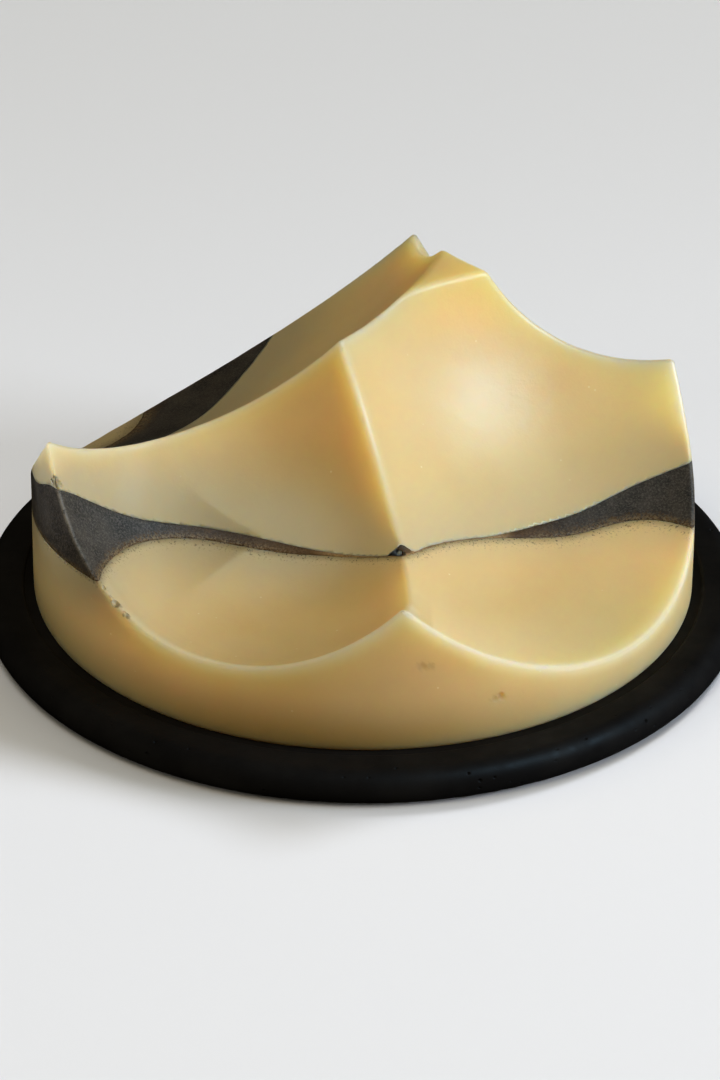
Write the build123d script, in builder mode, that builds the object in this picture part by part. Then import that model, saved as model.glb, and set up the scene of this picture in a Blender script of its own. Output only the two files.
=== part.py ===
from build123d import *
import os
from dataclasses import dataclass
from math import cos, radians, sin

# Shaving soap puck on its round dish.
# Millimetres, +Z up.  The origin is the centre of the dish's flat underside, so Z = 0 is the
# surface that the dish stands on.  The front of the puck, with its lowest ridge, faces -Y.

# ---- driving dimensions: the dish ------------------------------------------------------------
DISH_RADIUS = 46.2        # outermost radius of the full-round edge
DISH_THICKNESS = 4.5      # height of the rim's crest above the underside
SEAT_RADIUS = 41.2        # shallow pocket that keeps the puck central
SEAT_DEPTH = 0.5          # depth of that pocket below the rim's crest
SEAT_LIP_ROUND = 0.4      # softened lip of the pocket

# ---- driving dimensions: the puck ------------------------------------------------------------
PUCK_RADIUS = 40.0
PUCK_HEIGHT = 33.7        # height of the flat crest that the four scoops leave standing
BASE_ROUND = 0.6          # moulded rounding around the underside

# ---- driving dimensions: the poured layers, heights above the puck's underside ---------------
CHARCOAL_FLOOR = 9.7      # height of the lower pour on the axis
FLOOR_TILT = 7.0          # degrees; the lower pour set on a slight slope
FLOOR_RISES_TOWARDS = -103.0   # azimuth of the high side, degrees
CHARCOAL_SKIN = 0.5       # thickness of the charcoal where it is thinnest
BOWL_RADIUS = 96.6        # the upper pour pressed the charcoal into a shallow bowl
BOWL_LOWEST = 7.6         # height of that bowl's lowest point
BOWL_X = 4.7
BOWL_Y = 9.7
KNOLL_RADIUS = 20.0       # round knoll of lower soap under the front ridge, free of charcoal
KNOLL_X = 4.5
KNOLL_Y = -37.5


@dataclass
class Scoop:
    """A spherical hollow: a ball whose centre stands off the axis, above the puck's underside."""

    azimuth: float
    reach: float
    height: float
    radius: float

    def centre(self):
        across = self.reach * cos(radians(self.azimuth))
        along = self.reach * sin(radians(self.azimuth))
        return (across, along, SEAT_HEIGHT + self.height)


SCOOPS = [
    Scoop(azimuth=-117.0, reach=27.7, height=33.6, radius=26.8),   # front left
    Scoop(azimuth=-34.8, reach=37.0, height=47.4, radius=42.4),    # front right
    Scoop(azimuth=48.5, reach=54.1, height=42.6, radius=33.4),     # back right
    Scoop(azimuth=141.7, reach=61.6, height=78.3, radius=74.8),    # back left
]

SEAT_HEIGHT = DISH_THICKNESS - SEAT_DEPTH
EDGE_RADIUS = DISH_THICKNESS / 2
EDGE_CENTRE = DISH_RADIUS - EDGE_RADIUS

os.makedirs("parts", exist_ok=True)

# ---- dish: one cast disc with a full-round edge and a shallow seat ---------------------------
with BuildPart() as dish:
    with BuildSketch(Plane.XZ):
        with BuildLine():
            Polyline(
                (EDGE_CENTRE, 0),
                (0, 0),
                (0, SEAT_HEIGHT),
                (SEAT_RADIUS, SEAT_HEIGHT),
                (SEAT_RADIUS, DISH_THICKNESS),
                (EDGE_CENTRE, DISH_THICKNESS),
            )
            ThreePointArc(
                (EDGE_CENTRE, DISH_THICKNESS),
                (DISH_RADIUS, EDGE_RADIUS),
                (EDGE_CENTRE, 0),
            )
        make_face()
    revolve(axis=Axis.Z)
    seat_lip = dish.edges().filter_by(
        lambda edge: abs(edge.center(CenterOf.BOUNDING_BOX).Z - DISH_THICKNESS) < 1e-3
        and abs(edge.bounding_box().max.X - SEAT_RADIUS) < 1e-3
    )
    fillet(seat_lip, radius=SEAT_LIP_ROUND)

# ---- the puck as it leaves the mould: a cylinder with four ball-shaped scoops ----------------
with BuildPart() as carved_puck:
    with BuildSketch(Plane.XY.offset(SEAT_HEIGHT)):
        Circle(PUCK_RADIUS)
    extrude(amount=PUCK_HEIGHT)
    fillet(carved_puck.edges().group_by(Axis.Z)[0], radius=BASE_ROUND)
    for scoop in SCOOPS:
        with Locations(scoop.centre()):
            Sphere(scoop.radius, mode=Mode.SUBTRACT)

# ---- the surface that the charcoal was poured on: a plane leaning up towards the front -------
lean_axis = Axis((0, 0, 0), (-sin(radians(FLOOR_RISES_TOWARDS)), cos(radians(FLOOR_RISES_TOWARDS)), 0))
floor_normal = Vector(0, 0, 1).rotate(lean_axis, -FLOOR_TILT)
charcoal_floor = Plane(
    origin=(0, 0, SEAT_HEIGHT + CHARCOAL_FLOOR),
    x_dir=lean_axis.direction,
    z_dir=floor_normal,
)

# ---- crown: everything above that surface, except the knoll under the front ridge ------------
with BuildPart() as crown:
    add(carved_puck.part)
    split(bisect_by=charcoal_floor, keep=Keep.TOP)
    with BuildSketch(Plane.XY):
        with Locations((KNOLL_X, KNOLL_Y)):
            Circle(KNOLL_RADIUS)
    extrude(amount=2 * PUCK_HEIGHT, mode=Mode.SUBTRACT)

# ---- lower soap: the first pour, which carries the rest --------------------------------------
with BuildPart() as lower_soap:
    add(carved_puck.part)
    add(crown.part, mode=Mode.SUBTRACT)

# ---- upper soap: the last pour, inside the bowl that it pressed into the charcoal ------------
with BuildPart() as upper_soap:
    add(crown.part)
    split(bisect_by=charcoal_floor.offset(CHARCOAL_SKIN), keep=Keep.TOP)
    with Locations((BOWL_X, BOWL_Y, SEAT_HEIGHT + BOWL_LOWEST + BOWL_RADIUS)):
        Sphere(BOWL_RADIUS, mode=Mode.INTERSECT)
    with BuildSketch(Plane.XY):
        with Locations((KNOLL_X, KNOLL_Y)):
            Circle(KNOLL_RADIUS + CHARCOAL_SKIN)
    extrude(amount=2 * PUCK_HEIGHT, mode=Mode.SUBTRACT)

# ---- charcoal layer: what is left between the two pours --------------------------------------
with BuildPart() as charcoal_layer:
    add(crown.part)
    add(upper_soap.part, mode=Mode.SUBTRACT)

PIECES = {
    "dish": dish,
    "lower_soap": lower_soap,
    "charcoal_layer": charcoal_layer,
    "upper_soap": upper_soap,
}
for name, piece in PIECES.items():
    piece.part.label = name
    export_step(piece.part, f"parts/{name}.step")
    print(name, len(piece.part.solids()), "solid(s)", round(piece.part.volume / 1000, 2), "cm3")
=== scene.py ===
from math import cos, pi, radians, sin

import bpy
import numpy as np
from mathutils import Matrix, Vector, geometry, noise


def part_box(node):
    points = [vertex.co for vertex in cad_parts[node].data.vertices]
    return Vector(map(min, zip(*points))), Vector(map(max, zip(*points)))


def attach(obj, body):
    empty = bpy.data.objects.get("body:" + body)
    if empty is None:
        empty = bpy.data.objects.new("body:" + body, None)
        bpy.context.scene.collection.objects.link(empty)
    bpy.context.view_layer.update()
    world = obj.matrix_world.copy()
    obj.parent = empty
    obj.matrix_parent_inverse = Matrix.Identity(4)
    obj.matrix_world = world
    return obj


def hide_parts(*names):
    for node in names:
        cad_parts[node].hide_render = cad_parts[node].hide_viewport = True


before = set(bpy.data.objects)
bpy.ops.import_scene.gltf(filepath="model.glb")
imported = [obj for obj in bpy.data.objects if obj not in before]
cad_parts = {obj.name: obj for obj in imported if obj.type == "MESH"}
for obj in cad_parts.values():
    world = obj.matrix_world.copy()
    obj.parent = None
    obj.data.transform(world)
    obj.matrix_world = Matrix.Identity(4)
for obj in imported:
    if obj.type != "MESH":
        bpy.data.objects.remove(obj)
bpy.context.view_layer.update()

# Shaving soap puck on its dish.  Lengths in this script are millimetres unless a comment says
# metres.  The puck is shaped with its underside at zero height and then raised onto the seat.

MM = 0.001

lower_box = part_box("lower_soap")
upper_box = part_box("upper_soap")
dish_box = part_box("dish")
FOOT = lower_box[0][2] / MM                          # height of the puck's underside
RADIUS = (lower_box[1][0] - lower_box[0][0]) / 2 / MM
CREST = upper_box[1][2] / MM - FOOT
DISH_RADIUS = (dish_box[1][0] - dish_box[0][0]) / 2 / MM
DISH_THICKNESS = dish_box[1][2] / MM

# ---- camera ------------------------------------------------------------------------------------
CAMERA_ELEVATION = radians(30.1)
CAMERA_ROLL = radians(-0.36)
CAMERA_DISTANCE = 640.0
CAMERA_AIM = (-0.4, 2.2, 7.8)          # millimetres from the centre of the dish's underside
CAMERA_LENS = 175.2


def make_camera():
    forward = Vector((0, cos(CAMERA_ELEVATION), -sin(CAMERA_ELEVATION)))
    right = Vector((1, 0, 0))
    up = right.cross(forward)
    rolled_right = right * cos(CAMERA_ROLL) - up * sin(CAMERA_ROLL)
    rolled_up = right * sin(CAMERA_ROLL) + up * cos(CAMERA_ROLL)
    place = Vector(CAMERA_AIM) * MM - forward * CAMERA_DISTANCE * MM
    data = bpy.data.cameras.new("camera")
    data.lens = CAMERA_LENS
    data.sensor_width = 36.0
    data.clip_start = 0.01
    data.clip_end = 20.0
    camera = bpy.data.objects.new("camera", data)
    bpy.context.scene.collection.objects.link(camera)
    turn = Matrix((rolled_right, rolled_up, -forward)).transposed()
    camera.matrix_world = Matrix.Translation(place) @ turn.to_4x4()
    bpy.context.scene.camera = camera


make_camera()

# ---- the carved shape --------------------------------------------------------------------------
# The same four balls as in the CAD model: azimuth, reach from the axis, height, radius.
SCOOPS = {
    "front_left": (-117.0, 27.7, 33.6, 26.8),
    "front_right": (-34.8, 37.0, 47.4, 42.4),
    "back_right": (48.5, 54.1, 42.6, 33.4),
    "back_left": (141.7, 61.6, 78.3, 74.8),
}
BALLS = [
    (np.array((reach * cos(radians(azimuth)), reach * sin(radians(azimuth)), height)), radius)
    for azimuth, reach, height, radius in SCOOPS.values()
]
FRONT_LEFT, FRONT_RIGHT, BACK_LEFT, WALL = 0, 1, 3, 5    # places in the columns of depths()
STEEP = 20.0                 # slope that carries a ball's height on past its equator
MESH_STEP = 0.46             # typical edge length of the surface mesh
LONGEST_EDGE = 0.9
WALL_ROWS = 40
EDGE_ROWS = (0.18, 0.42, 0.72)  # rows of vertices beside every arris
ARRIS_ROUND = 0.62           # softened radius of the arrises


def carved_height(flat):
    """Height of the sharp carved surface above each (x, y)."""
    height = np.full(len(flat), CREST)
    for centre, radius in BALLS:
        away = np.hypot(flat[:, 0] - centre[0], flat[:, 1] - centre[1])
        inside = centre[2] - np.sqrt(np.maximum(radius**2 - away**2, 0))
        height = np.minimum(height, np.where(away < radius, inside, centre[2] + STEEP * (away - radius)))
    return height


def depths(points):
    """How far each point stands outside each surface of the puck: the balls, crest, wall, base."""
    columns = [radius - np.linalg.norm(points - centre, axis=1) for centre, radius in BALLS]
    columns.append(points[:, 2] - CREST)
    columns.append(np.hypot(points[:, 0], points[:, 1]) - RADIUS)
    columns.append(-points[:, 2])
    return np.stack(columns, axis=1)


def edge_keys(faces, count):
    """Every edge of the faces once, as (low, high), and where each face side finds its edge."""
    sides = np.stack([faces, np.roll(faces, -1, axis=1)], axis=2)
    low = sides.min(axis=2).astype(np.int64)
    high = sides.max(axis=2).astype(np.int64)
    keys, place = np.unique(low * count + high, return_inverse=True)
    return np.stack([keys // count, keys % count], axis=1), place.reshape(faces.shape)


def split(faces, side_point):
    """Divides faces at the new points on their sides; side_point is -1 where a side is whole."""
    marked = side_point >= 0
    count = marked.sum(axis=1)
    parts = [faces[count == 0]]
    for k in range(3):
        a, b, c = (faces[:, (k + step) % 3] for step in range(3))
        ab, bc, ca = (side_point[:, (k + step) % 3] for step in range(3))
        one = (count == 1) & (ab >= 0)
        parts.append(np.stack([a, ab, c], axis=1)[one])
        parts.append(np.stack([ab, b, c], axis=1)[one])
        two = (count == 2) & (ab >= 0) & (bc >= 0)
        parts.append(np.stack([ab, b, bc], axis=1)[two])
        parts.append(np.stack([ab, bc, c], axis=1)[two])
        parts.append(np.stack([ab, c, a], axis=1)[two])
    three = count == 3
    a, b, c = faces[three].T
    ab, bc, ca = side_point[three].T
    for corners in ((a, ab, ca), (ab, b, bc), (bc, c, ca), (ab, bc, ca)):
        parts.append(np.stack(corners, axis=1))
    return np.concatenate(parts)


def insert(points, faces, edges, place, chosen, new_points):
    """Adds one point on each chosen edge and divides the faces beside it."""
    index = np.full(len(edges), -1)
    index[chosen] = len(points) + np.arange(chosen.sum())
    return np.concatenate([points, new_points]), split(faces, index[place])


def cut(points, faces, values, near=0.03):
    """Divides faces along values = 0.  A point within `near` of it counts as on it."""
    values = np.where(abs(values) < near, 0.0, values)
    edges, place = edge_keys(faces, len(points))
    first, second = values[edges[:, 0]], values[edges[:, 1]]
    chosen = first * second < 0
    share = (first / np.where(chosen, first - second, 1.0))[chosen][:, None]
    start, end = points[edges[chosen, 0]], points[edges[chosen, 1]]
    points, faces = insert(points, faces, edges, place, chosen, start + share * (end - start))
    values = np.concatenate([values, np.zeros(len(points) - len(values))])
    return points, faces, values


def refine_near(points, faces, spots, reach, longest):
    """Halves the edges within reach of the spots until they are short enough."""
    for _ in range(6):
        edges, place = edge_keys(faces, len(points))
        start, end = points[edges[:, 0]], points[edges[:, 1]]
        middle = (start + end) / 2
        away = np.full(len(edges), np.inf)
        for spot in spots:
            away = np.minimum(away, np.linalg.norm(middle - spot, axis=1))
        long_edge = np.linalg.norm(start - end, axis=1)
        chosen = (long_edge > longest) & (away < reach + long_edge / 2)
        if not chosen.any():
            break
        points, faces = insert(points, faces, edges, place, chosen, middle[chosen])
    return points, faces


def ring_disc(radius, step):
    """Points and triangles of a flat disc in six-sided rings, the last one at the radius."""
    rings = round(radius / step)
    points = [(0.0, 0.0)]
    starts = [0]
    for ring in range(1, rings + 1):
        starts.append(len(points))
        turn = 2 * pi * np.arange(6 * ring) / (6 * ring)
        points.extend(zip(radius * ring / rings * np.cos(turn), radius * ring / rings * np.sin(turn)))
    faces = []
    for ring in range(1, rings + 1):
        outer, inner = starts[ring], starts[ring - 1]
        outer_count, inner_count = 6 * ring, max(6 * (ring - 1), 1)
        for sector in range(6):
            for k in range(ring):
                o0 = outer + sector * ring + k
                o1 = outer + (sector * ring + k + 1) % outer_count
                i0 = inner + (sector * (ring - 1) + k) % inner_count
                faces.append((i0, o0, o1))
                if k < ring - 1:
                    i1 = inner + (sector * (ring - 1) + k + 1) % inner_count
                    faces.append((i0, o1, i1))
    return np.array(points), np.array(faces)


def carved_top():
    """The sharp top surface, with a line of mesh edges along every arris between two scoops."""
    flat, faces = ring_disc(RADIUS, MESH_STEP)
    rim = 3 * (round(RADIUS / MESH_STEP) - 1) * round(RADIUS / MESH_STEP) + 1
    on_rim = np.arange(len(flat)) >= rim
    points = np.column_stack([flat, carved_height(flat)])
    for _ in range(6):
        edges, place = edge_keys(faces, len(points))
        ends = points[edges[:, 0]], points[edges[:, 1]]
        chosen = np.linalg.norm(ends[0] - ends[1], axis=1) > LONGEST_EDGE
        both_rim = (on_rim[edges[:, 0]] & on_rim[edges[:, 1]])[chosen]
        middle = ((ends[0] + ends[1]) / 2)[chosen]
        reach = np.hypot(middle[:, 0], middle[:, 1])
        middle[both_rim, :2] *= (RADIUS / reach[both_rim])[:, None]
        middle[:, 2] = carved_height(middle)
        points, faces = insert(points, faces, edges, place, chosen, middle)
        on_rim = np.concatenate([on_rim, both_rim])
    return arris_lines(points, faces, on_rim)


def arris_lines(points, faces, on_rim):
    """Moves points onto the arrises where one is close, and cuts the other faces along them."""
    levels = depths(points)[:, :5]
    owner = levels.argmax(axis=1)
    for moving in (True, False):
        edges, place = edge_keys(faces, len(points))
        a, b = edges.T
        crossing = (owner[a] != owner[b]) & (owner[a] >= 0) & (owner[b] >= 0)
        gap_a = levels[a, owner[a]] - levels[a, owner[b]]
        gap_b = levels[b, owner[b]] - levels[b, owner[a]]
        share = gap_a / np.maximum(gap_a + gap_b, 1e-9)
        on_line = points[a] + share[:, None] * (points[b] - points[a])
        both_rim = on_rim[a] & on_rim[b]
        reach = np.hypot(on_line[:, 0], on_line[:, 1])
        on_line[both_rim, :2] *= (RADIUS / reach[both_rim])[:, None]
        on_line[:, 2] = carved_height(on_line)
        if moving:
            for end, close in ((a, share < 0.3), (b, share > 0.7)):
                moved = crossing & close & (both_rim | ~on_rim[end])
                points[end[moved]] = on_line[moved]
                owner[end[moved]] = -1
        else:
            points, faces = insert(points, faces, edges, place, crossing, on_line[crossing])
            on_rim = np.concatenate([on_rim, both_rim[crossing]])
    return points, faces, on_rim


def closed_puck():
    """The sharp puck as one closed mesh: carved top, wall and underside."""
    points, faces, on_rim = carved_top()
    rim = np.flatnonzero(on_rim)
    rim = rim[np.argsort(np.arctan2(points[rim, 1], points[rim, 0]))]
    columns = len(rim)
    following = np.roll(np.arange(columns), -1)
    rows = [rim]
    for row in range(1, WALL_ROWS + 1):
        level = points[rim].copy()
        level[:, 2] *= 1 - row / WALL_ROWS
        rows.append(len(points) + np.arange(columns))
        points = np.concatenate([points, level])
    for share in (0.96, 0.8, 0.5, 0.2):
        level = points[rows[WALL_ROWS]] * (share, share, 1)
        rows.append(len(points) + np.arange(columns))
        points = np.concatenate([points, level])
    parts = [faces]
    for upper, lower in zip(rows, rows[1:]):
        parts.append(np.stack([upper, lower, lower[following]], axis=1))
        parts.append(np.stack([upper, lower[following], upper[following]], axis=1))
    centre = len(points)
    points = np.concatenate([points, [(0, 0, 0)]])
    last = rows[-1]
    parts.append(np.stack([last, np.full(columns, centre), last[following]], axis=1))
    return points, np.concatenate(parts)


# ---- softened arrises, chips and the cutter's faint marks ---------------------------------------
def wave(points, size, seed):
    """Smooth noise in -1..1 with features of this size."""
    shift = Vector((seed * 3.7, seed * 1.3, seed * 5.1))
    return np.array([noise.noise(Vector(point) / size + shift) for point in points])


# Bites out of the surface: the middle of a small ball, in millimetres, and its radius.
BITES = [
    ((-35.9, -17.2, 22.7), 0.62),     # crumbled spot on the left horn, where the charcoal starts
    ((-35.3, -16.9, 22.2), 0.50),
    ((-36.4, -16.5, 22.3), 0.38),
    ((-28.6, -27.4, 12.4), 0.60),     # pit on the rim below the charcoal
    ((-29.2, -26.7, 13.0), 0.36),
    ((6.9, -39.95, 11.3), 0.72),      # nick high on the front wall
    ((7.9, -39.72, 11.35), 0.60),
    ((16.1, -37.05, 5.6), 0.66),      # and a smaller one to its right
    ((15.4, -37.35, 5.5), 0.58),
]
# Faint tool marks inside the front left scoop: distance from its rim, width, depth.
GROOVES = ((2.2, 0.5, 0.07), (3.6, 0.4, 0.03), (5.1, 0.5, 0.03))
RIM_CRUMBS = 18
WEAR_SEED = 11


def bites():
    """All the bites: the ones placed above and a crumbling stretch of rim."""
    pick = np.random.default_rng(WEAR_SEED)
    places = list(BITES)
    for _ in range(RIM_CRUMBS):
        turn = radians(pick.uniform(-143, -133))
        rim = np.array([[RADIUS * cos(turn), RADIUS * sin(turn)]])
        height = carved_height(rim)[0] + pick.uniform(-0.5, 0.0)
        reach = RADIUS + pick.uniform(-0.6, 0.0)
        places.append(((reach * cos(turn), reach * sin(turn), height), pick.uniform(0.16, 0.36)))
    return places


def softened(points, ripple, worn):
    """Signed distance to the puck with rounded arrises and bites out of it.

    ripple raises the surface above the seat; worn lists the bites near each of these points.
    """
    levels = depths(points) - ripple[:, None]
    levels[:, 6] += ripple
    inner = np.minimum(levels.max(axis=1), -ARRIS_ROUND)
    level = inner + np.linalg.norm(np.maximum(levels + ARRIS_ROUND, 0), axis=1)
    for near, middle, size in worn:
        level[near] = np.maximum(level[near], size - np.linalg.norm(points[near] - middle, axis=1))
    return level


def soften(points, places):
    """Moves every point onto the softened surface."""
    ripple = 0.05 * wave(points, 9.0, 1) + 0.02 * wave(points, 2.4, 2)
    levels = depths(points)
    from_rim = levels[:, FRONT_LEFT] - levels[:, WALL]
    front = (points[:, 0] < 0) & (points[:, 1] < -12) & (points[:, 2] < 14)
    for distance, width, depth in GROOVES:
        ripple -= np.where(front, depth * np.exp(-(((from_rim - distance) / width) ** 2)), 0)
    ripple *= np.clip(points[:, 2] / 2.0, 0, 1)
    worn = []
    for middle, size in places:
        near = np.flatnonzero(np.linalg.norm(points - middle, axis=1) < size + 0.6)
        worn.append((near, np.array(middle), size))
    step = 0.01
    for _ in range(5):
        level = softened(points, ripple, worn)
        slope = np.stack(
            [
                softened(points + step * axis, ripple, worn) - softened(points - step * axis, ripple, worn)
                for axis in np.eye(3)
            ],
            axis=1,
        ) / (2 * step)
        points = points - slope * (level / np.maximum((slope**2).sum(axis=1), 0.2))[:, None]
    return points


# ---- the poured layers ---------------------------------------------------------------------------
# Each swell is (x, y, height, width) and bends a pour's surface up or down.
FLOOR_SWELLS = (
    (4.8, -40.0, 11.2, 12.0),      # knoll under the front ridge
    (-8.8, -11.2, -1.8, 6.4),      # dip left of the front arris
    (-8.0, -14.0, 0.3, 5.0),
    (0.0, -17.0, -0.8, 5.0),       # dip close beside it
    (9.0, -14.0, 0.3, 5.0),        # and a low saddle to its right
    (14.0, -9.0, -0.2, 5.0),
    (24.0, -4.0, -1.1, 6.0),       # dip under the right wedge
    (34.0, -4.0, 0.8, 5.0),        # rise towards the right wall
    (-27.0, -16.0, 0.75, 6.0),     # rise under the left wedge
)
TOP_SWELLS = (
    (-36.0, -16.8, 2.4, 4.8),      # the charcoal climbs the left horn
    (-38.0, -10.0, -1.5, 5.0),     # sags behind it
    (-26.0, -12.0, -0.5, 5.0),     # and to its right
    (1.0, -17.0, 0.2, 5.0),
    (7.0, -15.0, 1.6, 5.0),        # it follows the saddle over the front arris
    (4.5, -16.9, 1.5, 0.75),       # knot on that arris
    (12.0, -10.0, 0.3, 5.0),
    (26.0, -2.0, -0.6, 5.0),       # slack over the right wedge
    (-20.0, 18.0, 0.6, 5.0),       # fuller in the back left scoop
)
THINNEST_CHARCOAL = 0.1


def swells(points, listed):
    total = np.zeros(len(points))
    for x, y, height, width in listed:
        away = (points[:, 0] - x) ** 2 + (points[:, 1] - y) ** 2
        total += height * np.exp(-away / (2 * width**2))
    return total


def unevenness(points, turn):
    """Small uneven swells of a poured surface, different for each turn."""
    x, y = points[:, 0], points[:, 1]
    wide = np.sin(0.62 * x + 0.25 * y + turn) * np.sin(0.57 * y - 0.18 * x + 2 * turn)
    narrow = np.sin(2.3 * x + 0.9 * y + 3 * turn) * np.sin(1.9 * y - 0.8 * x + turn)
    return 0.012 * wide + 0.01 * narrow


def charcoal_floor(points):
    """Height of the surface that the charcoal was poured on."""
    x, y = points[:, 0], points[:, 1]
    even = 9.71 - 0.0285 * x - 0.1203 * y + swells(points, FLOOR_SWELLS)
    return even + unevenness(points, 0.7)


def charcoal_top(points):
    """Height of the charcoal's upper surface, pressed into a shallow bowl by the last pour."""
    x, y = points[:, 0], points[:, 1]
    bowl = 8.21 - 0.0483 * x - 0.1 * y + 0.00517 * (x**2 + y**2) + swells(points, TOP_SWELLS)
    bowl += unevenness(points, 0.7)
    over = bowl - charcoal_floor(points) - THINNEST_CHARCOAL
    lift = (over + np.sqrt(over**2 + 0.01)) / 2
    return charcoal_floor(points) + THINNEST_CHARCOAL + lift


def border(faces, count):
    """Directed edges along the open edge of these faces."""
    start = faces.ravel().astype(np.int64)
    end = np.roll(faces, -1, axis=1).ravel().astype(np.int64)
    lonely = ~np.isin(start * count + end, end * count + start)
    return np.stack([start[lonely], end[lonely]], axis=1)


INNER_STEP = 1.6


def inner_sheet(points, loop, surface):
    """Triangles that close off a loop on the puck's surface, with inner points on a pour's surface."""
    names, place = np.unique(loop, return_inverse=True)
    rim = points[names, :2]
    flat, _ = ring_disc(RADIUS - 1.2, INNER_STEP)
    clear = np.array([np.hypot(*(rim - spot).T).min() > 0.7 for spot in flat])
    corners = [Vector(spot) for spot in np.concatenate([rim, flat[clear]])]
    sides = place.reshape(loop.shape).tolist()
    verts, _, tris, source, _, _ = geometry.delaunay_2d_cdt(corners, sides, [], 1, 1e-7)
    spots = np.array([tuple(vert) for vert in verts])
    origin = np.array([ids[0] if ids else len(corners) for ids in source])
    inside = np.flatnonzero(origin >= len(rim))
    index = names[np.minimum(origin, len(rim) - 1)]
    index[inside] = len(points) + np.arange(len(inside))
    extra = np.column_stack([spots[inside], surface(spots[inside])])
    points = np.concatenate([points, extra])
    sheet = index[np.array(tris)]
    a, b, c = (points[sheet[:, k], :2] for k in range(3))
    turn = (b[:, 0] - a[:, 0]) * (c[:, 1] - a[:, 1]) - (b[:, 1] - a[:, 1]) * (c[:, 0] - a[:, 0])
    sheet[turn < 0] = sheet[turn < 0][:, ::-1]
    return points, sheet


def make_mesh(name, points, faces, lift, slot_name, material, **spread):
    """A smooth-shaded object with its unused points left out, raised by lift.

    spread gives values per vertex for the material.
    """
    used, place = np.unique(faces, return_inverse=True)
    placed = (points[used] + (0, 0, lift)) * MM
    mesh = bpy.data.meshes.new(name)
    mesh.from_pydata(placed.tolist(), [], place.reshape(faces.shape).tolist())
    for label, values in spread.items():
        mesh.attributes.new(label, "FLOAT", "POINT").data.foreach_set("value", values[used])
    mesh.polygons.foreach_set("use_smooth", [True] * len(mesh.polygons))
    mesh.validate()
    mesh.materials.append(material)
    obj = bpy.data.objects.new(name, mesh)
    bpy.context.scene.collection.objects.link(obj)
    return obj


def poured_puck():
    """The three pours: their faces, sharing one list of points."""
    points, faces = closed_puck()
    for row in EDGE_ROWS:
        order = np.sort(depths(points), axis=1)
        points, faces, _ = cut(points, faces, order[:, -1] - order[:, -2] - row)
    places = bites()
    # the wide bites first, then a finer mesh for the small ones
    for smallest, longest in ((0.28, 0.2), (0.0, 0.09)):
        middles = [np.array(middle) for middle, size in places if smallest < size < smallest + 0.5]
        points, faces = refine_near(points, faces, middles, 0.3, longest)
    points = soften(points, places)

    points, faces, level = cut(points, faces, points[:, 2] - charcoal_floor(points))
    above = level[faces].sum(axis=1) > 0
    lower, crown = faces[~above], faces[above]
    floor_loop = border(crown, len(points))
    points, crown, level = cut(points, crown, points[:, 2] - charcoal_top(points))
    above = level[crown].sum(axis=1) > 0
    middle, upper = crown[~above], crown[above]
    top_loop = border(upper, len(points))

    points, floor_sheet = inner_sheet(points, floor_loop, charcoal_floor)
    points, top_sheet = inner_sheet(points, top_loop, charcoal_top)
    return points, {
        "lower_soap": np.concatenate([lower, floor_sheet]),
        "charcoal_layer": np.concatenate([middle, floor_sheet[:, ::-1], top_sheet]),
        "upper_soap": np.concatenate([upper, top_sheet[:, ::-1]]),
    }


# ---- the dish --------------------------------------------------------------------------------------
SEAT_RADIUS = 41.2
SEAT_HEIGHT = FOOT                 # the puck stands on the seat
LIP_ROUND = 0.4
TURNS = 300
PINHOLES = 90
DISH_SEED = 7


def arc(centre_r, centre_z, radius, start, end, count):
    """Points (r, z) along an arc of the profile, angles in degrees."""
    angles = np.radians(np.linspace(start, end, count))
    return [(centre_r + radius * cos(a), centre_z + radius * sin(a)) for a in angles]


def dish_profile():
    """From the middle of the underside, out over the full-round edge, to the middle of the seat."""
    tube = DISH_THICKNESS / 2
    profile = [(r, 0.0) for r in (6.0, 18.0, 30.0, 38.0, 42.0)]
    profile += arc(DISH_RADIUS - tube, tube, tube, -90, 90, 25)
    profile += [(43.4, DISH_THICKNESS), (42.6, DISH_THICKNESS), (42.1, DISH_THICKNESS)]
    profile += arc(SEAT_RADIUS + LIP_ROUND, DISH_THICKNESS - LIP_ROUND, LIP_ROUND, 90, 180, 6)
    profile += [(SEAT_RADIUS, SEAT_HEIGHT + 0.02), (SEAT_RADIUS - 0.12, SEAT_HEIGHT)]
    profile += [(r, SEAT_HEIGHT) for r in (40.6, 39.6, 36.0, 30.0, 20.0, 8.0)]
    return profile


def lathe(profile, turns):
    """A closed surface of revolution in triangles, wound outwards."""
    turn = 2 * pi * np.arange(turns) / turns
    rings = [np.column_stack([r * np.cos(turn), r * np.sin(turn), np.full(turns, z)]) for r, z in profile]
    points = np.concatenate(rings + [np.array([(0, 0, profile[0][1]), (0, 0, profile[-1][1])])])
    here = np.arange(turns)
    after = np.roll(here, -1)
    faces = []
    for k in range(len(profile) - 1):
        low, high = k * turns, (k + 1) * turns
        faces.append(np.stack([low + here, low + after, high + after], axis=1))
        faces.append(np.stack([low + here, high + after, high + here], axis=1))
    bottom, top = len(points) - 2, len(points) - 1
    last = (len(profile) - 1) * turns
    faces.append(np.stack([np.full(turns, bottom), after, here], axis=1))
    faces.append(np.stack([np.full(turns, top), last + here, last + after], axis=1))
    return points, np.concatenate(faces)


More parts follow.
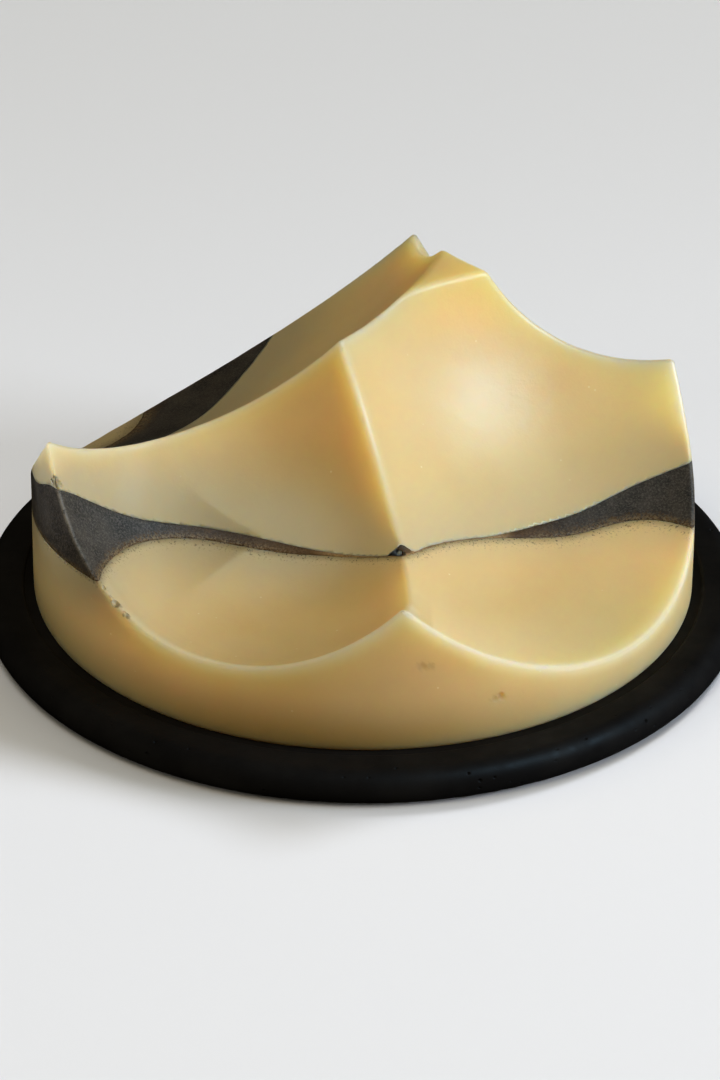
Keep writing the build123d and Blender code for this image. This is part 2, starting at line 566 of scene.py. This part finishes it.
def pinhole_places():
    """Seeded pinholes over the round edge and the lip: (centre, inward direction, radius)."""
    pick = np.random.default_rng(DISH_SEED)
    tube = DISH_THICKNESS / 2
    edge = DISH_RADIUS - tube
    places = []
    for _ in range(PINHOLES):
        azimuth = pick.uniform(0, 2 * pi)
        lean = radians(pick.uniform(-25, 105))
        size = 0.10 + 0.16 * pick.random() ** 3
        outward = np.array((cos(azimuth) * cos(lean), sin(azimuth) * cos(lean), sin(lean)))
        if lean > pi / 2:
            outward = np.array((0, 0, 1.0))
            reach = edge - pick.uniform(0, 1.6)
        else:
            reach = edge
        middle = np.array((cos(azimuth) * reach, sin(azimuth) * reach, tube))
        places.append((middle + outward * tube, -outward, size))
    return places


def on_round_edge(points):
    """Puts points that the refinement left inside the dish's edge back on its tube."""
    tube = DISH_THICKNESS / 2
    reach = np.hypot(points[:, 0], points[:, 1])
    outer = reach > DISH_RADIUS - tube
    across, up = reach - (DISH_RADIUS - tube), points[:, 2] - tube
    share = tube / np.maximum(np.hypot(across, up), 1e-6)
    wanted = DISH_RADIUS - tube + across * share
    moved = points.copy()
    moved[outer, :2] *= (wanted / np.maximum(reach, 1e-6))[outer, None]
    moved[outer, 2] = (tube + up * share)[outer]
    return moved


def cast_dish():
    places = pinhole_places()
    points, faces = lathe(dish_profile(), TURNS)
    points, faces = refine_near(points, faces, [centre for centre, _, _ in places], 0.3, 0.14)
    points = on_round_edge(points)
    shift = np.zeros_like(points)
    for centre, inward, size in places:
        away = np.linalg.norm(points - centre, axis=1) / size
        depth = 1.3 * size * np.sqrt(np.maximum(1 - away**2, 0))
        shift += depth[:, None] * inward
    return points + shift, faces


# ---- materials -------------------------------------------------------------------------------------
class Shader:
    """A node material with short calls for the nodes that these materials need."""

    def __init__(self, name):
        self.material = bpy.data.materials.new(name)
        self.material.use_nodes = True
        self.nodes = self.material.node_tree.nodes
        self.links = self.material.node_tree.links
        self.surface = self.nodes["Principled BSDF"]
        self.place = self.nodes.new("ShaderNodeTexCoord").outputs["Object"]

    def set(self, **values):
        for name, value in values.items():
            self.surface.inputs[name.replace("_", " ")].default_value = value

    def feed(self, name, source):
        self.links.new(source, self.surface.inputs[name])

    def noise(self, size, detail=3.0, roughness=0.55, stretch=(1, 1, 1), shift=(0, 0, 0)):
        """Noise with features of this size in metres."""
        spread = self.nodes.new("ShaderNodeMapping")
        spread.inputs["Scale"].default_value = stretch
        spread.inputs["Location"].default_value = shift
        self.links.new(self.place, spread.inputs["Vector"])
        node = self.nodes.new("ShaderNodeTexNoise")
        node.inputs["Scale"].default_value = 1 / size
        node.inputs["Detail"].default_value = detail
        node.inputs["Roughness"].default_value = roughness
        self.links.new(spread.outputs["Vector"], node.inputs["Vector"])
        return node.outputs["Fac"]

    def cells(self, size, wander=1.0):
        """Distance to, and random colour of, the nearest of scattered points this far apart."""
        node = self.nodes.new("ShaderNodeTexVoronoi")
        node.inputs["Scale"].default_value = 1 / size
        node.inputs["Randomness"].default_value = wander
        self.links.new(self.place, node.inputs["Vector"])
        return node.outputs["Distance"], node.outputs["Color"]

    def axis(self, name):
        """Position along X, Y or Z in metres."""
        node = self.nodes.new("ShaderNodeSeparateXYZ")
        self.links.new(self.place, node.inputs[0])
        return node.outputs[name]

    def value(self, name):
        node = self.nodes.new("ShaderNodeAttribute")
        node.attribute_name = name
        return node.outputs["Fac"]

    def fade(self, source, start, end, low=0.0, high=1.0, smooth=True):
        """Takes source from start..end to low..high."""
        node = self.nodes.new("ShaderNodeMapRange")
        node.interpolation_type = "SMOOTHSTEP" if smooth else "LINEAR"
        for name, number in zip(("From Min", "From Max", "To Min", "To Max"), (start, end, low, high)):
            node.inputs[name].default_value = number
        self.links.new(source, node.inputs["Value"])
        return node.outputs["Result"]

    def maths(self, kind, first, second):
        node = self.nodes.new("ShaderNodeMath")
        node.operation = kind
        for socket, source in zip(node.inputs, (first, second)):
            if isinstance(source, (int, float)):
                socket.default_value = source
            else:
                self.links.new(source, socket)
        return node.outputs[0]

    def times(self, first, second):
        return self.maths("MULTIPLY", first, second)

    def mix(self, share, first, second):
        """Colour between first and second; either may be a colour or another node's output."""
        node = self.nodes.new("ShaderNodeMix")
        node.data_type = "RGBA"
        self.links.new(share, node.inputs["Factor"])
        for socket, source in zip((node.inputs[6], node.inputs[7]), (first, second)):
            if isinstance(source, tuple):
                socket.default_value = (*source, 1.0)
            else:
                self.links.new(source, socket)
        return node.outputs[2]

    def bump(self, height, distance, strength=1.0, under=None):
        node = self.nodes.new("ShaderNodeBump")
        node.inputs["Distance"].default_value = distance
        node.inputs["Strength"].default_value = strength
        self.links.new(height, node.inputs["Height"])
        if under is not None:
            self.links.new(under, node.inputs["Normal"])
        return node.outputs["Normal"]


IVORY = (0.79, 0.665, 0.40)
IVORY_DEEP = (0.77, 0.63, 0.36)
PAINTED_BASE_SHADE = (0.52, 0.35, 0.14)
PAINTED_HONEY = (0.74, 0.55, 0.24)
PAINTED_GLOW = (0.90, 0.70, 0.34)
PAINTED_RIM_LIGHT = (0.97, 0.84, 0.54)
GREY_GREEN = (0.64, 0.59, 0.43)
PALE_FLECK = (0.93, 0.87, 0.70)
PAINTED_EDGE_HIGHLIGHT = (0.90, 0.84, 0.66)
SMOKY_AND_SHADE = (0.42, 0.395, 0.29)
PIT_BROWN = (0.26, 0.17, 0.07)
UMBER = (0.085, 0.052, 0.026)
THIN_BROWN = (0.38, 0.27, 0.14)
DUSTY_BROWN = (0.17, 0.11, 0.055)
CHARCOAL = (0.020, 0.0195, 0.021)
CHARCOAL_LIGHT = (0.066, 0.062, 0.058)
CHARCOAL_GRIT = (0.15, 0.14, 0.13)
SCUFFED = (0.27, 0.26, 0.24)
FRAYED = (0.27, 0.225, 0.14)
DISH_DARK = (0.010, 0.010, 0.0112)
DISH_LIGHT = (0.016, 0.016, 0.017)
PAPER_NEAR = (0.71, 0.75, 0.84)
PAPER_FAR_SHADED = (0.59, 0.615, 0.665)


def soap_surface(shader, distance):
    """What both ivory pours share: waxy translucency, satin gloss and a fine grain.

    The soap clouds over towards the charcoal, at this distance from it in millimetres.
    """
    shader.set(Subsurface_Weight=1.0, Subsurface_Radius=(1.0, 0.70, 0.38))
    reach = shader.fade(distance, 0.2, 6.0, 0.0012, 0.011)
    solid = shader.fade(shader.value("pitted"), 0.0, 1.0, 1.0, 0.05)
    shader.feed("Subsurface Scale", shader.times(reach, solid))
    shader.set(Roughness=0.40, IOR=1.47)
    # the front left scoop is duller than the rest, except near its horn
    right_of_horn = shader.fade(shader.axis("X"), -0.030, -0.024)
    dull = shader.times(shader.value("front_left"), right_of_horn)
    shader.feed("Specular IOR Level", shader.fade(dull, 0.0, 1.0, 0.3, 0.04))
    grain = shader.bump(shader.noise(0.00035, 2.0), 0.00002, 0.6)
    slow = shader.bump(shader.noise(0.0035, 2.0), 0.00012, 0.4, under=grain)
    shader.feed("Normal", slow)


# Mottled ivory with painted light laid over it: glows at and behind the ridges, a pale band inside the
# right rim, and a painted highlight along the arrises.
def mottled_ivory(shader):
    base = shader.mix(shader.fade(shader.noise(0.014, 2.0), 0.35, 0.65), IVORY, IVORY_DEEP)
    # painted glow: a honey-coloured band behind the ridge of the front left scoop, as light showing
    # through, kept below the crest
    below_peak = shader.fade(shader.axis("Z"), 0.022, 0.032, 0.55, 0.0)
    base = shader.mix(shader.times(shader.value("honey_glow_painted"), below_peak), base, PAINTED_HONEY)
    # painted glow: soap beside the ridges of the front left scoop is painted lighter, as light showing
    # through
    base = shader.mix(shader.times(shader.value("glow"), 0.6), base, PAINTED_GLOW)
    # painted light: a pale yellow band inside the right rim of the front right scoop, as light showing
    # through the thin rim
    base = shader.mix(shader.times(shader.value("rim_glow_painted"), 0.8), base, PAINTED_RIM_LIGHT)
    # painted highlight: the soap is painted paler within about 2 mm of each arris
    edge = shader.fade(shader.value("from_arris"), 0.0, 2.2, 0.65, 0.0)
    base = shader.mix(edge, base, PAINTED_EDGE_HIGHLIGHT)
    # the bites are painted darker brown, most strongly on the left horn
    base = shader.mix(shader.times(shader.value("pitted"), 0.5), base, PIT_BROWN)
    distance, colour = shader.cells(0.0024)
    rare = shader.fade(colour, 0.55, 0.6, smooth=False)
    fleck = shader.times(shader.fade(distance, 0.07, 0.03), rare)
    return shader.mix(shader.times(fleck, 0.7), base, PALE_FLECK)


def smoke_and_painted_shade(shader, base, distance, reach):
    """Charcoal clouding plus painted shade, strongest on the left where the layer is thick and shade
    falls.
    """
    left = shader.fade(shader.axis("X"), 0.008, -0.010)
    left = shader.times(left, shader.fade(shader.axis("Y"), 0.004, -0.004, 0.8, 1.0))
    left = shader.times(left, shader.fade(shader.axis("X"), -0.032, -0.016, 0.75, 1.0))
    near = shader.fade(distance, 0.0, reach, 0.85, 0.0)
    return shader.mix(shader.times(left, near), base, SMOKY_AND_SHADE)


def upper_soap_material():
    shader = Shader("soap_upper_pour")
    above = shader.value("above_charcoal")
    tint = shader.fade(above, 0.0, 7.0, 0.75, 0.0)
    base = shader.mix(tint, mottled_ivory(shader), GREY_GREEN)
    # painted glow: the high crest towards the back is painted glow colour, as light showing through it
    peak_glow_painted = shader.fade(shader.axis("Z"), 0.028, 0.035, 0.0, 0.8)
    peak_glow_painted = shader.times(peak_glow_painted, shader.fade(shader.axis("Y"), 0.006, 0.014))
    base = shader.mix(peak_glow_painted, base, PAINTED_GLOW)
    shader.feed("Base Color", smoke_and_painted_shade(shader, base, above, 13.0))
    soap_surface(shader, above)
    return shader.material


def lower_soap_material():
    shader = Shader("soap_lower_pour")
    depth = shader.value("below_charcoal")
    tint = shader.fade(depth, 0.0, 3.0, 0.45, 0.0)
    base = shader.mix(tint, mottled_ivory(shader), GREY_GREEN)
    base = smoke_and_painted_shade(shader, base, depth, 8.0)
    # painted shade: the soap is painted darker brown towards the bottom of the wall, less on the right and
    # at the far left
    base_shade_painted = shader.fade(shader.axis("Z"), 0.004, 0.012, 1.0, 0.0)
    base_shade_painted = shader.times(base_shade_painted, shader.fade(shader.axis("X"), 0.0, 0.026, 1.0, 0.3))
    base_shade_painted = shader.times(base_shade_painted, shader.fade(shader.axis("X"), -0.034, -0.012, 0.55, 1.0))
    base = shader.mix(base_shade_painted, base, PAINTED_BASE_SHADE)
    specks = shader.fade(shader.noise(0.0003, 3.0, 0.7), 0.56, 0.66)
    base = shader.mix(shader.fade(depth, 0.0, 0.7, 0.35, 0.0), base, UMBER)
    near = shader.fade(depth, 0.0, 1.3, 0.9, 0.0)
    shader.feed("Base Color", shader.mix(shader.times(specks, near), base, CHARCOAL_LIGHT))
    soap_surface(shader, depth)
    return shader.material


def charcoal_material():
    shader = Shader("charcoal_pour")
    rise = shader.value("above_floor")
    cloud = shader.fade(shader.noise(0.0045, 4.0, 0.6), 0.3, 0.7)
    dark = shader.mix(cloud, CHARCOAL, CHARCOAL_LIGHT)
    grit = shader.fade(shader.noise(0.00026, 4.0, 0.85), 0.42, 0.68, 0.0, 0.9)
    dark = shader.mix(grit, dark, CHARCOAL_GRIT)
    scuffed = shader.fade(shader.value("from_arris"), 0.0, 0.7, 0.7, 0.0)
    scuffed = shader.times(scuffed, shader.fade(shader.noise(0.0008, 3.0, 0.7), 0.35, 0.5))
    scuffed = shader.times(scuffed, shader.fade(shader.axis("Z"), 0.015, 0.025, 0.2, 1.0))
    dark = shader.mix(scuffed, dark, SCUFFED)
    depth = shader.value("layer_depth")
    ragged = shader.maths("ADD", rise, shader.fade(shader.noise(0.00035, 3.0, 0.7), 0.3, 0.7, -0.6, 0.6))
    solid = shader.times(shader.fade(ragged, -0.1, 0.7), shader.fade(depth, 0.5, 1.8))
    brown = shader.mix(shader.fade(depth, 0.2, 0.6), THIN_BROWN, UMBER)
    speckle = shader.fade(shader.noise(0.0003, 3.0, 0.8), 0.45, 0.6, 0.0, 0.55)
    brown = shader.mix(speckle, brown, DUSTY_BROWN)
    body = shader.mix(solid, brown, dark)
    frayed = shader.fade(shader.noise(0.0003, 3.0, 0.8, shift=(3, 1, 2)), 0.46, 0.56)
    frayed = shader.times(frayed, shader.fade(rise, 0.0, 0.8, 0.8, 0.0))
    frayed = shader.times(frayed, shader.fade(depth, 0.5, 1.2))
    shader.feed("Base Color", shader.mix(frayed, body, FRAYED))
    shader.set(Roughness=0.6, IOR=1.45, Specular_IOR_Level=0.35)
    shader.set(Subsurface_Weight=0.35, Subsurface_Scale=0.0006, Subsurface_Radius=(1.0, 0.7, 0.4))
    shader.feed("Normal", shader.bump(shader.noise(0.0003, 3.0, 0.7), 0.00006, 0.8))
    return shader.material


def dish_material():
    shader = Shader("cast_black_dish")
    cloud = shader.fade(shader.noise(0.006, 4.0), 0.3, 0.7)
    shader.feed("Base Color", shader.mix(cloud, DISH_DARK, DISH_LIGHT))
    shader.set(Specular_IOR_Level=0.08)
    shader.feed("Roughness", shader.fade(shader.noise(0.0025, 4.0), 0.3, 0.7, 0.44, 0.58))
    fine = shader.bump(shader.noise(0.00025, 3.0, 0.7), 0.00003, 0.6)
    shader.feed("Normal", shader.bump(shader.noise(0.004, 2.0), 0.00012, 0.35, under=fine))
    return shader.material


# ---- assembly --------------------------------------------------------------------------------------
GLOW_REACH = 3.5             # how far the painted glow reaches from a ridge
HONEY_REACH = 9.0
RIM_REACH = 14.0

puck_points, pours = poured_puck()
above_floor = puck_points[:, 2] - charcoal_floor(puck_points)
above_charcoal = puck_points[:, 2] - charcoal_top(puck_points)
levels = depths(puck_points)
owner = levels.argmax(axis=1)
two_nearest = np.sort(levels, axis=1)[:, -2:]
inland = np.clip((33.0 - np.hypot(puck_points[:, 0], puck_points[:, 1])) / 3, 0, 1)
from_arris = two_nearest[:, 1] - two_nearest[:, 0] + 9.0 * (puck_points[:, 2] < 2.0)
from_arris += inland * np.where(above_floor < 0, 1.6, 0.6)

# Painted light for light soaking through the thin ridges: a painted bright line at the ridge,
# a painted honey-coloured glow behind it, and a painted pale band inside the right rim.
front_left = owner == FRONT_LEFT
from_ridge = levels[:, FRONT_LEFT] - levels[:, FRONT_RIGHT]
from_back = levels[:, FRONT_LEFT] - levels[:, BACK_LEFT] + np.clip(-20 - puck_points[:, 0], 0, 9)
glow = front_left * np.clip(1 - np.minimum(from_ridge, from_back) / GLOW_REACH, 0, 1)
honey_glow_painted = front_left * np.clip(from_ridge / GLOW_REACH, 0, 1)
honey_glow_painted *= np.clip(1 - (from_ridge - GLOW_REACH) / HONEY_REACH, 0, 1)
from_rim = levels[:, FRONT_RIGHT] - levels[:, WALL]
rim_glow_painted = (owner == FRONT_RIGHT) * (puck_points[:, 0] > 8) * np.clip(1 - from_rim / RIM_REACH, 0, 1)
pitted = np.zeros(len(puck_points))
for middle, size in bites():
    near = np.linalg.norm(puck_points - middle, axis=1) < 1.1 * size
    pitted[near] = 1.0 if middle[0] < -22 else 0.3
spread = {
    "pitted": pitted,
    "layer_depth": charcoal_top(puck_points) - charcoal_floor(puck_points),
    "above_floor": above_floor,
    "below_charcoal": -above_floor,
    "above_charcoal": above_charcoal,
    "from_arris": from_arris,
    "glow": glow,
    "honey_glow_painted": honey_glow_painted,
    "front_left": front_left.astype(float),
    "rim_glow_painted": rim_glow_painted,
}
pour_looks = {
    "lower_soap": ("soap_ivory", lower_soap_material()),
    "charcoal_layer": ("soap_charcoal", charcoal_material()),
    "upper_soap": ("soap_ivory", upper_soap_material()),
}
for node, (slot_name, material) in pour_looks.items():
    piece = make_mesh(node + "_poured", puck_points, pours[node], FOOT, slot_name, material, **spread)
    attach(piece, "puck")
    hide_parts(node)

dish_points, dish_faces = cast_dish()
piece = make_mesh("dish_cast", dish_points, dish_faces, 0.0, "dish_black", dish_material())
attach(piece, "dish")
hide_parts("dish")


# ---- stage -----------------------------------------------------------------------------------------
def make_floor():
    """A pale sweep: flat in front and under the object, curving up far behind it."""
    curve_start, curve_radius = 0.9, 0.5
    profile = [(-6.0, 0.0), (curve_start, 0.0)]
    for step in range(1, 17):
        angle = radians(90 * step / 16)
        profile.append((curve_start + curve_radius * sin(angle), curve_radius * (1 - cos(angle))))
    profile.append((curve_start + curve_radius, 4.0))
    verts = [(x, y, z) for x in (-5.0, 5.0) for y, z in profile]
    count = len(profile)
    faces = [(k, k + 1, count + k + 1, count + k) for k in range(count - 1)]
    mesh = bpy.data.meshes.new("floor")
    mesh.from_pydata(verts, [], faces)
    mesh.polygons.foreach_set("use_smooth", [True] * len(faces))
    floor = bpy.data.objects.new("floor", mesh)
    shader = Shader("pale_paper")
    # painted shade: the paper is painted darker towards the back of the sweep
    behind = shader.fade(shader.axis("Y"), -0.06, 0.2)
    shader.feed("Base Color", shader.mix(behind, PAPER_NEAR, PAPER_FAR_SHADED))
    shader.set(Roughness=0.9)
    mesh.materials.append(shader.material)
    bpy.context.scene.collection.objects.link(floor)
    floor.visible_diffuse = False
    floor.visible_glossy = False
    return floor


COOL = (0.95, 0.975, 1.0)
AMBER = (1.0, 0.84, 0.56)
CREAM = (1.0, 0.94, 0.84)
ICE = (0.50, 0.78, 1.0)
SKY = (0.76, 0.87, 1.0)


def make_light(name, azimuth, elevation, distance, size, power, colour=(1, 1, 1)):
    """A round soft box that faces the object from this azimuth and elevation, in degrees."""
    data = bpy.data.lights.new(name, "AREA")
    data.shape = "DISK"
    data.size = size
    data.energy = power
    data.color = colour
    light = bpy.data.objects.new(name, data)
    flat = cos(radians(elevation))
    toward = Vector((cos(radians(azimuth)) * flat, sin(radians(azimuth)) * flat, sin(radians(elevation))))
    light.location = toward * distance + Vector((0, 0, 0.02))
    light.rotation_euler = toward.to_track_quat("Z", "Y").to_euler()
    bpy.context.scene.collection.objects.link(light)
    return light


def make_spot(name, azimuth, elevation, aim, power):
    """A narrow soft beam at one spot of the object, aim in millimetres, from 0.4 m away."""
    data = bpy.data.lights.new(name, "SPOT")
    data.energy = power
    data.color = COOL
    data.spot_size = radians(3.4)
    data.spot_blend = 1.0
    data.shadow_soft_size = 0.004
    light = bpy.data.objects.new(name, data)
    light.visible_glossy = False
    flat = cos(radians(elevation))
    toward = Vector((cos(radians(azimuth)) * flat, sin(radians(azimuth)) * flat, sin(radians(elevation))))
    light.location = Vector(aim) * MM + toward * 0.4
    light.rotation_euler = toward.to_track_quat("Z", "Y").to_euler()
    bpy.context.scene.collection.objects.link(light)


def make_world(above, below):
    """Even soft light from all round, of one strength above the horizon and another below it."""
    world = bpy.data.worlds.new("studio")
    world.use_nodes = True
    nodes, links = world.node_tree.nodes, world.node_tree.links
    split_axes = nodes.new("ShaderNodeSeparateXYZ")
    links.new(nodes.new("ShaderNodeTexCoord").outputs["Generated"], split_axes.inputs[0])
    strength = nodes.new("ShaderNodeMapRange")
    numbers = (-0.15, 0.15, below, above)
    for name, number in zip(("From Min", "From Max", "To Min", "To Max"), numbers):
        strength.inputs[name].default_value = number
    links.new(split_axes.outputs["Z"], strength.inputs["Value"])
    background = nodes["Background"]
    background.inputs["Color"].default_value = (*AMBER, 1.0)
    links.new(strength.outputs["Result"], background.inputs["Strength"])
    bpy.context.scene.world = world
    world.cycles_visibility.glossy = False


floor = make_floor()
key = make_light("key", azimuth=-9, elevation=16, distance=2.0, size=0.95, power=36.0, colour=COOL)
key.visible_glossy = False
sheen = make_light("sheen", azimuth=-25, elevation=40, distance=1.3, size=0.4, power=27.0, colour=ICE)
sheen.visible_diffuse = False
left_fill = make_light(
    "left_fill", azimuth=-150, elevation=25, distance=1.3, size=0.6, power=1.4, colour=CREAM
)
left_fill.visible_glossy = False
front_fill = make_light(
    "front_fill", azimuth=-100, elevation=60, distance=1.3, size=0.7, power=4.6, colour=AMBER
)
front_fill.visible_glossy = False
make_spot("horn_glow", azimuth=-168, elevation=32, aim=(-37.5, -13.5, 27.5), power=4.4)
paper_only = bpy.data.collections.new("paper_only")
paper_only.objects.link(floor)
paper_light = make_light("paper_light", azimuth=40, elevation=50, distance=1.6, size=0.5, power=12.0)
paper_fill = make_light(
    "paper_fill", azimuth=-135, elevation=75, distance=1.6, size=0.9, power=3.5, colour=SKY
)
for light in (paper_light, paper_fill):
    light.light_linking.receiver_collection = paper_only
make_world(above=0.25, below=0.26)
bpy.context.scene.view_settings.view_transform = "Standard"
bpy.context.scene.view_settings.gamma = 0.85
